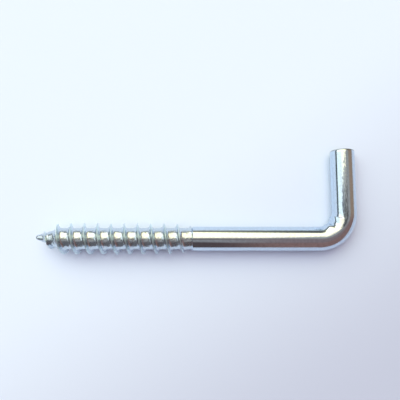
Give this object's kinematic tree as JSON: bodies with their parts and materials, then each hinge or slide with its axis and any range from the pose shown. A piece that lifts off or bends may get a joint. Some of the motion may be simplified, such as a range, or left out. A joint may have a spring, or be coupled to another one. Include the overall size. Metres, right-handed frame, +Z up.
{
  "type": "screw hook",
  "caption": "Square-bend screw hook of bright zinc-plated round wire, with a gimlet-pointed wood thread at one end and a short plain leg at a right angle to hang things on.",
  "frame": {"origin": "on the axis of the screw, at the shoulder where the thread ends and the plain shank begins", "axes": "+X along the shank from the screw point to the leg, +Y along the leg towards its free end, +Z up from the surface that the hook lies on"},
  "size_m": [0.08, 0.0261, 0.0076],
  "materials": {
    "zinc_plated_steel": "gloss"
  },
  "bodies": {
    "root": {"screw_hook": "zinc_plated_steel"}
  },
  "joints": []
}
